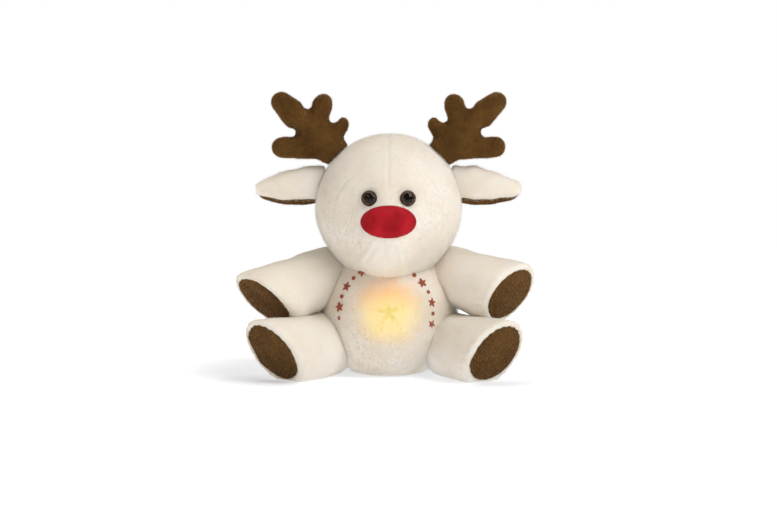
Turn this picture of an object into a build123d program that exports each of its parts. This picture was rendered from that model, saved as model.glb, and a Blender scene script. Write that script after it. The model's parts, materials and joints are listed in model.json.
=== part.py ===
from build123d import *
from math import atan2, cos, degrees, radians, sin, sqrt
import os

# A seated plush reindeer with a lamp behind its belly and a battery box in its back.
# Millimetres. The origin is the centre of the flat seat, +Z is up and the toy faces -Y.
# "left" and "right" are the toy's own, so its left side is at +X.

# cloth and clearances
pileWall = 2.5
velvetWall = 1.6
padWall = 2.5
jointGap = 0.6
sewnGap = 0.2
# body: an upright egg, cut flat where it sits
bodyRadius = 65.0
bodyHalfHeight = 67.0
seatSink = 7.0
# head: a ball sunk into the top of the body, with a smaller ball for the muzzle
headRadius = 70.0
headForward = 14.0
neckSink = 37.0
headScale = headRadius / 70.0
muzzleRadius = 38.0 * headScale
muzzleBulge = 11.0 * headScale
muzzlePitch = 21.8
threadRadius = 1.2
headTurn = 20
# nose and eyes
noseWidth = 51.4
noseHeight = 30.7
noseSink = 11.0
noseRise = 1.5
eyeSpacing = 35.2
eyeRise = 7.5
eyeRadius = 7.2
eyeDomeHeight = 4.5
eyeRim = 1.5
shankRadius = 2.2
shankLength = 13.0
washerRadius = 6.5
washerWall = 1.5
washerSit = 0.7
# ears: half height and half depth at each distance from the root
earSections = [tuple(size * headScale for size in row)
               for row in ((0, 18, 3), (16, 17, 8), (32, 15, 8), (45, 11, 6.5), (56, 4.5, 3))]
earRise = 23.0 * headScale
earBack = 6.0 * headScale
earDroop = 10.7
earHem = 8.0
earFold = 2.4
earFlap = 20
# antlers: rounded lobes as (out, up, radius) from the middle of the root
antlerLean = 46.1
antlerThickness = 18.0
antlerLobes = ((22, 24, 19.5), (14, 9.5, 14.5), (51.4, 51.8, 9.6), (13.2, 51.4, 9.8), (-6.4, 29.6, 7), (51, 9, 8))
antlerPalm, antlerHeel, *antlerTips = [tuple(size * headScale for size in lobe) for lobe in antlerLobes]
antlerRoot = 30.0 * headScale
antlerFlex = 12
# arms
shoulderRise = 36.0
shoulderSink = 4.6
shoulderYaw = 4.6
armBall = 25.0
armWaist = 23.5
pawRadius = 26.5
armSwing = 40
# legs
hipOut = bodyRadius - 27.0
hipForward = 14.0
hipBall = 24.0
footRadius = 27.0
ankleRadius = 25.0
legLength = 95.0
# toe-out of each leg, how far along it the paw lies, how far round it, and the space between them,
# then the ways that the flat ends of the paw and the foot face
sides = {
    "left": {"sign": 1, "yaw": 38.9, "along": 76, "round": 55, "space": 11.0,
             "palm": (0.6, -0.6, -0.5), "sole": (0.51, -0.69, -0.51), "splay": (-20, 0, 10)},
    "right": {"sign": -1, "yaw": 45.8, "along": 82, "round": 58, "space": 1.2,
              "palm": (-0.533, -0.51, -0.677), "sole": (-0.55, -0.64, -0.53), "splay": (0, 20)},
}
# tail
tailHeight = 15.0
tailRadius = 10.0
tailHalfLength = 15.0
tailWag = 20
# belly lamp
lampRise = 3.0
lampInset = 15.0
lampRadius = 22.0
lampDepth = 16.0
lampWall = 1.5
boardWall = 1.6
boardSeat = 6.0
ledRadius = 2.5
ledRing = 11.0
keyTravel = 1.2
keyProud = 3.0
leadRadius = 1.25
# battery box for three AAA cells
cellRadius = 5.25
cellLength = 44.5
cellPitch = 12.0
boxWidth = 52.0
boxHeight = 46.0
boxDepth = 14.0
coverWall = 2.0
pocketWall = 1.0
boxInset = 17.0
boxRise = 5.0
switchTravel = 3.0
# back opening and its flap
openingWidth = 46.0
openingHeight = 36.0
flapMargin = 7.0
flapWall = 2.0
stripWall = 0.9
stripHeight = 7.0
flapSwing = 110

bodyCentre = bodyHalfHeight - seatSink
headCentre = Vector(0, -headForward, bodyCentre + bodyHalfHeight - neckSink + headRadius)
neckAxis = (headCentre - Vector(0, 0, bodyCentre)).normalized()
muzzleWay = Vector(0, -cos(radians(muzzlePitch)), -sin(radians(muzzlePitch)))
muzzleCentre = headCentre + muzzleWay * (headRadius + muzzleBulge - muzzleRadius)
reach = 4 * (bodyRadius + headRadius)


def egg(grow=0.0):
    half = Ellipse(bodyRadius + grow, bodyHalfHeight + grow) & Pos(reach / 2, 0) * Rectangle(reach, reach)
    return Pos(0, 0, bodyCentre) * revolve(Plane.XZ * half, Axis.Z)


def eggRadius(height, grow=0.0):
    rise = (height - bodyCentre) / (bodyHalfHeight + grow)
    return (bodyRadius + grow) * sqrt(1 - rise * rise)


def ballAt(centre, radius):
    # the quarter turn keeps the sphere's seam at the back, away from the limbs, ears and antlers
    return Pos(*centre) * Rot(0, 0, 90) * Sphere(radius)


def headBall(grow=0.0):
    return ballAt(headCentre, headRadius + grow)


def headForm(grow=0.0):
    return headBall(grow) + ballAt(muzzleCentre, muzzleRadius + grow)


def beyond(point, way):
    # everything past a plane through the point, on the side that the way leads to
    block = Box(reach, reach, reach, align=(Align.CENTER, Align.CENTER, Align.MIN))
    return Plane(origin=point, z_dir=way) * block


def swungClear(shape, obstacle, hinge, angles):
    # cut away what would meet the obstacle at any of the joint's angles
    for angle in angles:
        shape = shape - obstacle.rotate(hinge, -angle)
    return shape


def rod(start, end, radius):
    way = Vector(*end) - Vector(*start)
    place = Plane(origin=start, z_dir=way)
    return place * Cylinder(radius, way.length, align=(Align.CENTER, Align.CENTER, Align.MIN))


def mirrored(shape, sign):
    return shape if sign > 0 else mirror(shape, about=Plane.YZ)


# joints of the limbs

def shoulder(sign):
    height = bodyCentre + shoulderRise
    out = eggRadius(height) - shoulderSink
    yaw = radians(shoulderYaw)
    return Vector(sign * out * cos(yaw), -out * sin(yaw), height)


def armHinge(sign):
    # the swing runs about the line from the shoulder to the head's centre, so the arm stays clear of the head
    toHead = (headCentre - shoulder(sign)).normalized()
    return Axis(shoulder(sign), toHead * sign)


def hip(sign):
    return Vector(sign * hipOut, -hipForward, footRadius)


def legWay(side):
    yaw = radians(side["yaw"])
    return Vector(side["sign"] * sin(yaw), -cos(yaw), 0)


def pawCentre(side):
    # the paw lies over the outer side of the leg, with a small space between them
    out = Vector(side["sign"] * -legWay(side).Y, side["sign"] * legWay(side).X, 0)
    lean = radians(side["round"])
    stand = footRadius + pawRadius - 2 + side["space"]
    away = out * cos(lean) + Vector(0, 0, sin(lean))
    return hip(side["sign"]) + legWay(side) * side["along"] + away * stand


# body

def bodySockets(grow):
    cut = headBall(jointGap + grow)
    for sign in (1, -1):
        cut = cut + ballAt(shoulder(sign), armBall + jointGap + grow)
        cut = cut + ballAt(hip(sign), hipBall + jointGap + grow)
    return cut


boxCentre = Vector(0, bodyRadius - boxInset, bodyCentre + boxRise)
lampCentre = Vector(0, -(bodyRadius - lampInset), bodyCentre + lampRise)
opening = Pos(0, boxCentre.Y, boxCentre.Z) * Box(openingWidth, reach, openingHeight,
                                                 align=(Align.CENTER, Align.MIN, Align.CENTER))
sockets = bodySockets(0)
floorSide = beyond((0, 0, 0), (0, 0, -1))
bodyShell = egg() - floorSide - (egg(-pileWall) - beyond((0, 0, pileWall), (0, 0, -1))) - sockets
seatSlice = beyond((0, 0, pileWall), (0, 0, -1))
sideWall = bodyShell - seatSlice
backSide = beyond((0, 0, 0), (0, 1, 0))


def pocket(grow):
    # the cloth pouch round the battery box, open at the back
    spare = grow + sewnGap
    size = (boxWidth + 2 * spare, boxDepth + coverWall + spare, boxHeight + 2 * spare)
    return Pos(0, boxCentre.Y, boxCentre.Z) * Box(*size, align=(Align.CENTER, Align.MAX, Align.CENTER))


def bodyStuffing():
    fill = egg(-pileWall - sewnGap) - beyond((0, 0, pileWall + sewnGap), (0, 0, -1)) - bodySockets(sewnGap)
    pouch = pocket(pocketWall + sewnGap)
    pouchFront = pouch.bounding_box().min.Y
    fill = fill - pouch - extrude(pouch.faces().sort_by(Axis.Y)[-1], reach / 4)
    lampBack = lampCentre + Vector(0, lampDepth + sewnGap, 0)
    fill = fill - rod(lampBack, lampBack - Vector(0, reach / 4, 0), lampRadius + sewnGap)
    fill = fill - rod((0, lampBack.Y - 1, lampCentre.Z), (0, pouchFront + 1, lampCentre.Z), leadRadius * 4)
    return fill


# head

def eyeFrame(sign):
    out = sign * eyeSpacing / 2
    forward = sqrt(headRadius ** 2 - out ** 2 - eyeRise ** 2)
    spot = headCentre + Vector(out, -forward, eyeRise)
    return Plane(origin=spot, z_dir=spot - headCentre)


def upright(radius, low, high):
    return Pos(0, 0, low) * Cylinder(radius, high - low, align=(Align.CENTER, Align.CENTER, Align.MIN))


def eyePieces(sign):
    frame = eyeFrame(sign)
    washerTop = -pileWall - washerSit
    curve = (eyeRadius ** 2 + eyeDomeHeight ** 2) / (2 * eyeDomeHeight)
    ball = Pos(0, 0, 1 + eyeDomeHeight - curve) * Sphere(curve)
    dome = ball & upright(eyeRadius, 1, 1 + eyeDomeHeight)
    iris = upright(eyeRadius, 1 - eyeRim, 1) + upright(shankRadius, -shankLength, 1)
    washer = upright(washerRadius, washerTop - washerWall, washerTop)
    washer = washer - upright(shankRadius + 0.05, -shankLength, 1)
    return {"eye_dome": frame * dome, "eye_iris": frame * iris, "eye_washer": frame * washer}


def eyeHoles(grow):
    holes = []
    for sign in (1, -1):
        frame = eyeFrame(sign)
        holes.append(frame * upright(eyeRadius + 0.1, 1 - eyeRim, reach / 8))
        holes.append(frame * upright(shankRadius + grow, -shankLength - grow, 1))
    return holes


def washerRooms():
    low = -pileWall - washerSit - washerWall - sewnGap
    return [eyeFrame(sign) * upright(washerRadius + sewnGap, low, 0) for sign in (1, -1)]


def noseForm(grow=0.0):
    half = Ellipse(noseHeight / 2 + grow, noseWidth / 2 + grow) & Pos(reach / 2, 0) * Rectangle(reach, reach)
    centre = muzzleCentre + Vector(0, noseSink - muzzleRadius, noseRise)
    return Pos(*centre) * Rot(0, 90, 0) * revolve(Plane.XZ * half, Axis.Z)


# ears, built at the toy's left and mirrored

earRoot = Vector(sqrt((headRadius + jointGap) ** 2 - earRise ** 2 - earBack ** 2), earBack - headForward,
                 headCentre.Z + earRise)
earWay = Vector(cos(radians(earDroop)), 0, -sin(radians(earDroop)))
earUp = Vector(sin(radians(earDroop)), 0, cos(radians(earDroop)))
earHinge = Axis(earRoot, earUp)


def earForm(inset):
    rings = []
    for distance, halfHeight, halfDepth in earSections:
        along = min(distance, earSections[-1][0] - inset)
        ring = Ellipse(halfHeight - inset, max(halfDepth - inset, 0.8))
        rings.append(Plane(origin=earRoot + earWay * along, x_dir=earUp, z_dir=earWay) * ring)
    return loft(rings)


def earPieces():
    hem = beyond(earRoot - earUp * earHem, -earUp)
    frame = Plane(origin=earRoot - earUp * earSections[0][1], x_dir=earWay, z_dir=earUp)
    fold = frame * Box(earSections[-1][0] * 1.6, earFold, earSections[0][1] * 1.7)
    cover = earForm(0) - earForm(velvetWall) - hem
    lining = earForm(velvetWall + sewnGap) - fold
    angles = range(-earFlap, earFlap + 1, 10)
    return {name: swungClear(shape, headBall(jointGap), earHinge, angles)
            for name, shape in {"ear_cover": cover, "ear_lining": lining}.items()}


# antlers, built at the toy's left and mirrored

antlerWay = Vector(sin(radians(antlerLean)), 0, cos(radians(antlerLean)))
antlerBase = headCentre + antlerWay * (headRadius + jointGap)
antlerHinge = Axis(antlerBase, Vector(antlerWay.Z, 0, -antlerWay.X))


def lobe(first, second, inset):
    rings = [Pos(out, up) * Circle(radius - inset) for out, up, radius in (first, second)]
    return make_hull([edge for ring in rings for edge in ring.edges()])


def antlerForm(inset):
    outline = lobe(antlerPalm, antlerHeel, inset)
    for tip in antlerTips:
        root = antlerHeel if tip[1] < antlerHeel[1] + antlerHeel[2] else antlerPalm
        outline = outline + lobe(root, tip, inset)
    stem = Rot(0, 0, -antlerLean) * Rectangle(antlerRoot - 2 * inset, antlerHeel[2] * 2)
    outline = outline + stem
    return Pos(*antlerBase) * extrude(Plane.XZ * outline, antlerThickness / 2 - inset, both=True)


def antlerPieces():
    angles = range(-antlerFlex, antlerFlex + 1, 6)
    shell = antlerForm(0) - antlerForm(velvetWall)
    seam = beyond(antlerBase, (0, 1, 0))
    parts = {"antler_front": shell - seam, "antler_back": shell & seam,
             "antler_stuffing": antlerForm(velvetWall + sewnGap)}
    return {name: swungClear(shape, headBall(jointGap), antlerHinge, angles) for name, shape in parts.items()}


# limbs: a ball in its socket and a turned tube out to a flat sewn pad

def turned(stations, inset, frame):
    points = [(radius - inset, along) for along, radius in stations]
    edge = Spline(*points)
    ends = [Line((0, points[0][1]), points[0]), Line(points[-1], (0, points[-1][1])),
            Line((0, points[-1][1]), (0, points[0][1]))]
    return frame * revolve(Plane.XZ * make_face([edge] + ends), Axis.Z)


def armForm(side, inset):
    sign = side["sign"]
    start = shoulder(sign)
    way = pawCentre(side) - start
    reachOut = way.length
    stations = [(0, armBall - 1), (reachOut * 0.45, armWaist), (reachOut * 0.8, pawRadius - 1),
                (reachOut * 1.35, pawRadius + 1)]
    frame = Plane(origin=start, z_dir=way)
    tube = swungClear(turned(stations, inset, frame), egg(jointGap + inset), armHinge(sign), (0, armSwing))
    return frame * Sphere(armBall - inset) + tube - headBall(jointGap + inset)


def legForm(side, inset):
    sign = side["sign"]
    stations = [(0, hipBall - 1), (legLength * 0.45, ankleRadius), (legLength * 0.85, footRadius - 0.2),
                (legLength * 1.28, footRadius)]
    frame = Plane(origin=hip(sign), z_dir=legWay(side))
    upright = Axis(hip(sign), (0, 0, 1))
    tube = swungClear(turned(stations, inset, frame), egg(jointGap + inset), upright, side["splay"])
    return frame * Sphere(hipBall - inset) + tube


def limbPieces(form, side, padCentre, padWay):
    padWay = Vector(*padWay).normalized()
    outside = beyond(padCentre, padWay)
    padSide = beyond(padCentre - padWay * padWall, padWay)
    fillSide = beyond(padCentre - padWay * (padWall + sewnGap), padWay)
    whole = form(side, 0) - outside
    return {"cover": whole - form(side, pileWall) - padSide, "pad": whole & padSide,
            "stuffing": form(side, pileWall + sewnGap) - fillSide}


# lamp

def lampAt(forward):
    # a point on the lamp's axis, measured back from the rim of its housing
    return lampCentre + Vector(0, forward, 0)


def lampPieces():
    inside = lampRadius - lampWall
    boardFront = lampDepth - boardSeat - boardWall
    housing = rod(lampAt(lampDepth), lampAt(0), lampRadius) - rod(lampAt(lampDepth - 2), lampAt(-1), inside)
    housing = housing - rod(lampAt(lampDepth + 1), lampAt(lampDepth - 3), leadRadius + 0.1)
    board = rod(lampAt(boardFront + boardWall), lampAt(boardFront), inside - 0.1)
    leds = []
    for turn in range(4):
        offset = Vector(ledRing * cos(radians(45 + 90 * turn)), 0, ledRing * sin(radians(45 + 90 * turn)))
        foot, top = lampAt(boardFront) + offset, lampAt(boardFront - 3.5) + offset
        leds.append(rod(foot, top, ledRadius) + ballAt(top, ledRadius))
    switchTop = boardFront - 3.5
    switch = Pos(*lampAt(boardFront)) * Box(6, 3.5, 6, align=(Align.CENTER, Align.MAX, Align.CENTER))
    switch = switch + rod(lampAt(switchTop), lampAt(switchTop - 1), 1.7)
    postEnd = switchTop - 1 - keyTravel - 0.1
    slip = inside - 0.3
    diffuser = rod(lampAt(3), lampAt(-keyProud), slip) - rod(lampAt(4), lampAt(2 - keyProud), slip - lampWall)
    diffuser = diffuser + rod(lampAt(postEnd), lampAt(1 - keyProud), ledRadius)
    wire = rod(lampAt(lampDepth - 2), (0, boxCentre.Y - boxDepth - coverWall + 1, lampCentre.Z), leadRadius)
    return {"lamp_housing": housing, "lamp_board": board, "lamp_leds": Compound(children=leds),
            "lamp_switch": switch, "lamp_diffuser": diffuser, "lamp_lead": wire}


# battery box

def fromBox(x, y, z):
    # a point measured from the middle of the box cover's outer face
    return boxCentre + Vector(x, y, z)


def boxPieces():
    back = -coverWall
    inward = (Align.CENTER, Align.MAX, Align.CENTER)
    outward = (Align.CENTER, Align.MIN, Align.CENTER)
    bay = cellLength + 4.5
    edge = boxHeight / 2 - 2.8
    tray = Pos(*fromBox(0, back, 0)) * Box(boxWidth, boxDepth, boxHeight, align=inward)
    cells, contacts = [], []
    cellY = back - cellRadius - 0.6
    for row in (-1, 0, 1):
        z = row * cellPitch
        tray = tray - rod(fromBox(-bay / 2, cellY, z), fromBox(bay / 2, cellY, z), cellRadius + 0.3)
        slot = Pos(*fromBox(0, cellY, z)) * Box(bay, cellRadius + 3, 2 * cellRadius + 0.6, align=outward)
        tray = tray - slot
        nub = cellLength / 2
        turn = 1 if row == 0 else -1
        cell = rod(fromBox(-turn * nub, cellY, z), fromBox(turn * (nub - 1), cellY, z), cellRadius)
        cells.append(cell + rod(fromBox(turn * (nub - 1), cellY, z), fromBox(turn * nub, cellY, z), 1.9))
        contacts.append(rod(fromBox(turn * bay / 2, cellY, z), fromBox(turn * (nub + 0.05), cellY, z), 3))
        spring = Plane(origin=fromBox(-turn * bay / 2, cellY, z), z_dir=(turn, 0, 0))
        tall = (bay - cellLength) / 2 - 0.05
        contacts.append(spring * Cone(4.2, 2.6, tall, align=(Align.CENTER, Align.CENTER, Align.MIN)))
    screwX, switchX, low = 12, -12, -edge
    screw = rod(fromBox(screwX, -8, low), fromBox(screwX, -0.8, low), 1.2)
    screw = screw + rod(fromBox(screwX, -0.8, low), fromBox(screwX, 0, low), 2.2)
    tray = tray - rod(fromBox(screwX, -8.2, low), fromBox(screwX, 0, low), 1.25)
    leadZ = lampCentre.Z - boxCentre.Z
    leadHole = rod(fromBox(0, -boxDepth - coverWall - 1, leadZ), fromBox(0, 1.2 - boxDepth - coverWall, leadZ),
                   leadRadius + 0.1)
    tray = tray - leadHole
    lid = Pos(*fromBox(0, 0, 0)) * Box(boxWidth, coverWall, boxHeight, align=inward)
    lid = lid - rod(fromBox(screwX, -3, low), fromBox(screwX, 1, low), 1.3)
    lid = lid - rod(fromBox(screwX, -0.8, low), fromBox(screwX, 1, low), 2.3)
    knob, slack = (3.6, 2.6), 0.2
    slide = switchTravel + knob[0] + 2 * slack
    slotX = switchX + switchTravel / 2
    slotPlace = fromBox(slotX, 0, low)
    lid = lid - Pos(*slotPlace) * Box(slide, 3 * coverWall, knob[1] + 2 * slack)
    shoe = (knob[0] + 2, 1.5, knob[1] + 1)
    room = Pos(*fromBox(slotX, back, low))
    tray = tray - room * Box(slide + 2.6, 4, shoe[2] + 0.4, align=inward)
    switch = Pos(*fromBox(switchX, back - 0.1, low)) * Box(*shoe, align=inward)
    stem = Pos(*fromBox(switchX, back - 0.2, low))
    switch = switch + stem * Box(knob[0], coverWall + 1.4, knob[1], align=outward)
    pouch = pocket(pocketWall) - pocket(0)
    inside = fromBox(0, -boxDepth, leadZ)
    pouch = pouch - rod(fromBox(0, -boxDepth - 3 * coverWall, leadZ), inside, leadRadius + 0.3)
    return {"battery_box": tray, "battery_cover": lid, "cover_screw": screw, "power_switch": switch,
            "batteries": Compound(children=cells), "battery_contacts": Compound(children=contacts),
            "back_pocket": pouch}


# back flap and its hook-and-loop strips

def backPatch(low, high, halfWidth, inner, outer):
    # a piece of the body's back between two heights, between two offsets from its surface
    middle = Pos(0, reach / 4, (low + high) / 2) * Box(2 * halfWidth, reach / 2, high - low)
    return (egg(outer) - egg(inner)) & middle


flapLow = boxCentre.Z - openingHeight / 2 - flapMargin
flapHigh = boxCentre.Z + openingHeight / 2 + flapMargin / 2
flapHalf = openingWidth / 2 + flapMargin / 2
flapRise = 2 * stripWall + 2 * sewnGap
flapHinge = Axis((0, eggRadius(flapHigh, flapRise + flapWall / 2), flapHigh), (1, 0, 0))


def flapPieces():
    flap = backPatch(flapLow, flapHigh, flapHalf, flapRise, flapRise + flapWall)
    strip = (flapLow + 0.5, flapLow + 0.5 + stripHeight, flapHalf * 0.8)
    loop = backPatch(*strip, flapRise - stripWall, flapRise)
    hook = backPatch(*strip, 0, stripWall)
    angles = range(0, flapSwing + 1, 22)
    flap = swungClear(flap, egg(sewnGap), flapHinge, angles)
    return {"back_flap": flap, "loop_strip": loop, "hook_strip": hook}


# tail and neck seam

tailRoot = Vector(0, eggRadius(tailHeight, jointGap), tailHeight)


def tailForm():
    half = Ellipse(tailRadius, tailHalfLength) & Pos(reach / 2, 0) * Rectangle(reach, reach)
    middle = tailRoot + Vector(0, tailHalfLength * 0.55, tailHalfLength * 0.3)
    place = Plane(origin=middle, z_dir=(0, 0.85, 0.53))
    bob = place * revolve(Plane.XZ * half, Axis.Z)
    return swungClear(bob, egg(jointGap), Axis(tailRoot, (0, 0, 1)), range(-tailWag, tailWag + 1, 10))


def neckRing():
    # the thread lies in the crease, so its place is the widest circle where head and body meet
    widest = 0
    for sign in (1, -1):
        for step in range(80, 320):
            tilt = radians(step / 4)
            sideways = Vector(0, neckAxis.Z, -neckAxis.Y) * sin(tilt) * sign
            spot = headCentre + (neckAxis * -cos(tilt) + sideways) * headRadius
            if spot.Z < bodyCentre + bodyHalfHeight and abs(spot.Y) < eggRadius(spot.Z):
                widest = max(widest, tilt)
    out = headRadius + jointGap + threadRadius
    tilt = widest + radians(1.5)
    place = Plane(origin=headCentre - neckAxis * out * cos(tilt), z_dir=neckAxis)
    ring = place * Torus(out * sin(tilt), threadRadius)
    hinge = Axis(headCentre, neckAxis)
    ring = swungClear(ring, egg(jointGap / 2), hinge, range(-headTurn, headTurn + 1, 10))
    for sign in (1, -1):
        arm = ballAt(shoulder(sign), armBall + jointGap)
        ring = swungClear(ring, arm, hinge, range(-headTurn, headTurn + 1, 10))
    return ring - headBall(jointGap / 2)


# every piece, by the name of its file
pieces = {
    "base_panel": bodyShell & seatSlice,
    "belly_panel": sideWall - backSide,
    "back_panel": (sideWall & backSide) - opening,
    "body_stuffing": bodyStuffing(),
    "neck_stitching": neckRing(),
    "tail": tailForm(),
}

headShell = headForm() - headForm(-pileWall)
headFill = headForm(-pileWall - sewnGap)
for hole in eyeHoles(0.1):
    headShell = headShell - hole
    headFill = headFill - hole
for room in washerRooms():
    headFill = headFill - room
leftSide = beyond((0, 0, 0), (1, 0, 0))
pieces["head_panel_left"] = headShell & leftSide
pieces["head_panel_right"] = headShell - leftSide
pieces["head_stuffing"] = headFill
pieces["nose_cover"] = noseForm() - noseForm(-velvetWall) - headForm(0.05)
pieces["nose_filling"] = noseForm(-velvetWall - sewnGap) - headForm(0.05)

ear, antler = earPieces(), antlerPieces()
for name, side in sides.items():
    sign = side["sign"]
    for part, shape in {**ear, **antler}.items():
        pieces[name + "_" + part] = mirrored(shape, sign)
    for part, shape in eyePieces(sign).items():
        pieces[name + "_" + part] = shape
    arm = limbPieces(armForm, side, pawCentre(side), side["palm"])
    leg = limbPieces(legForm, side, hip(sign) + legWay(side) * legLength, side["sole"])
    pieces[name + "_arm_cover"] = arm["cover"]
    pieces[name + "_arm_stuffing"] = arm["stuffing"]
    pieces[name + "_paw_pad"] = arm["pad"]
    pieces[name + "_leg_cover"] = leg["cover"]
    pieces[name + "_leg_stuffing"] = leg["stuffing"]
    pieces[name + "_foot_pad"] = leg["pad"]

for group in (lampPieces(), boxPieces(), flapPieces()):
    pieces.update(group)

os.makedirs("parts", exist_ok=True)
for name, shape in pieces.items():
    export_step(shape, "parts/" + name + ".step")
print(len(pieces), "pieces")
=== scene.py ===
import json
import math
from contextlib import contextmanager

import bmesh
import bpy
import numpy as np
from mathutils import Matrix, Vector


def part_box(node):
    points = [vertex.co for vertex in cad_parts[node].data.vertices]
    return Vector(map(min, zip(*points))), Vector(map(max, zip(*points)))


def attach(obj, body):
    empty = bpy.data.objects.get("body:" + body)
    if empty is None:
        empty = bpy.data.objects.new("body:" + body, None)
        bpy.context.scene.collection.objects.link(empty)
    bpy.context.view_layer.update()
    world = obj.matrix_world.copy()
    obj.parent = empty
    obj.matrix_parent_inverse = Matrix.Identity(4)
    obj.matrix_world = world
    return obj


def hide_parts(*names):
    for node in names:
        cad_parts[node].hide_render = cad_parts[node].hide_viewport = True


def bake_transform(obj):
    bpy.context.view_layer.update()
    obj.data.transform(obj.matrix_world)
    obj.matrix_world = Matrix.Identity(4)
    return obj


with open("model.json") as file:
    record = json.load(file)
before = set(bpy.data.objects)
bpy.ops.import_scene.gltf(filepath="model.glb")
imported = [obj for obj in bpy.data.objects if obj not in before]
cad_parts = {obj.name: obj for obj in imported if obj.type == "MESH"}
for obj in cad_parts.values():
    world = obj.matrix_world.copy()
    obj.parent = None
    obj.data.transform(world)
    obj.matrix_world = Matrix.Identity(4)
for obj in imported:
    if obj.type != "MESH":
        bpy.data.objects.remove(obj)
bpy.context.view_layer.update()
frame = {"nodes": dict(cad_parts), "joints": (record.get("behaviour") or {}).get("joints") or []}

joints = {joint["name"]: joint for joint in frame["joints"]}
mm = 0.001


def makeMesh(name, points, faces, smooth=True):
    mesh = bpy.data.meshes.new(name)
    mesh.from_pydata([tuple(p) for p in points], [], [tuple(int(i) for i in f) for f in faces])
    mesh.polygons.foreach_set("use_smooth", [smooth] * len(mesh.polygons))
    return placed(name, mesh)


def placed(name, data):
    piece = bpy.data.objects.new(name, data)
    bpy.context.scene.collection.objects.link(piece)
    return piece


def vertexRows(piece, kind):
    flat = np.empty(len(piece.data.vertices) * 3, np.float32)
    piece.data.vertices.foreach_get(kind, flat)
    return flat.reshape(-1, 3).astype(float)


def pointsOf(piece):
    return vertexRows(piece, "co")


def normalsOf(piece):
    return vertexRows(piece, "normal")


def lengths(rows):
    return np.linalg.norm(rows, axis=1)


def unit(rows):
    return rows / lengths(rows)[:, None]


def setPoints(piece, points):
    piece.data.vertices.foreach_set("co", np.asarray(points, np.float32).ravel())
    piece.data.update()


def ballDirections(fineness):
    ball = bmesh.new()
    bmesh.ops.create_icosphere(ball, subdivisions=fineness, radius=1)
    directions = np.array([v.co[:] for v in ball.verts])
    faces = [[v.index for v in f.verts] for f in ball.faces]
    ball.free()
    return unit(directions), faces


def swell(points, size, seed, layers=9):
    # smooth lumps about one size across, between -1 and 1, the same on every run
    dice = np.random.default_rng(seed)
    total = np.zeros(len(points))
    for _ in range(layers):
        wave = dice.normal(size=3)
        wave *= 2 * math.pi / size / np.linalg.norm(wave) * dice.uniform(0.6, 1.5)
        total += np.sin(points @ wave + dice.uniform(0, 6.283))
    return total / math.sqrt(layers) / 1.6


def dip(distance, width):
    return np.exp(-(distance / width) ** 2)


def ease(value, low, high):
    t = np.clip((value - low) / (high - low), 0, 1)
    return t * t * (3 - 2 * t)


def softMax(a, b, width):
    h = np.clip(0.5 + 0.5 * (a - b) / width, 0, 1)
    return b + (a - b) * h + width * h * (1 - h)


def cornersOf(*nodes):
    boxes = [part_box(node) for node in nodes]
    low = np.min([box[0][:] for box in boxes], axis=0)
    high = np.max([box[1][:] for box in boxes], axis=0)
    return low, high


def gridFaces(rows, spokes):
    # quads of a tube whose points run ring by ring
    faces = []
    for row in range(rows - 1):
        for spoke in range(spokes):
            a, b = row * spokes + spoke, row * spokes + (spoke + 1) % spokes
            faces.append((a, b, b + spokes, a + spokes))
    return faces


@contextmanager
def reworked(piece):
    work = bmesh.new()
    work.from_mesh(piece.data)
    yield work
    work.to_mesh(piece.data)
    work.free()


def faceOut(piece):
    with reworked(piece) as work:
        bmesh.ops.recalc_face_normals(work, faces=work.faces)


def relax(piece, times):
    axes = {"use_axis_x": True, "use_axis_y": True, "use_axis_z": True}
    with reworked(piece) as work:
        for _ in range(times):
            bmesh.ops.smooth_vert(work, verts=work.verts, factor=0.5, **axes)


def shadeSmooth(piece):
    piece.data.polygons.foreach_set("use_smooth", [True] * len(piece.data.polygons))


def remeshed(piece, voxel, times):
    # one even skin round everything in the piece
    piece.data.remesh_voxel_size = voxel * mm
    bpy.context.view_layer.objects.active = piece
    bpy.ops.object.voxel_remesh()
    relax(piece, times)


class Strand:
    # one output of a node, which takes part in sums
    def __init__(self, recipe, socket):
        self.recipe, self.socket = recipe, socket

    def sum(self, operation, *values):
        return self.recipe.node("ShaderNodeMath", {"operation": operation}, dict(enumerate(values)))

    def __add__(self, other):
        return self.sum("ADD", self, other)

    def __sub__(self, other):
        return self.sum("SUBTRACT", self, other)

    def __rsub__(self, other):
        return self.sum("SUBTRACT", other, self)

    def __mul__(self, other):
        return self.sum("MULTIPLY", self, other)

    def __truediv__(self, other):
        return self.sum("DIVIDE", self, other)


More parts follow.
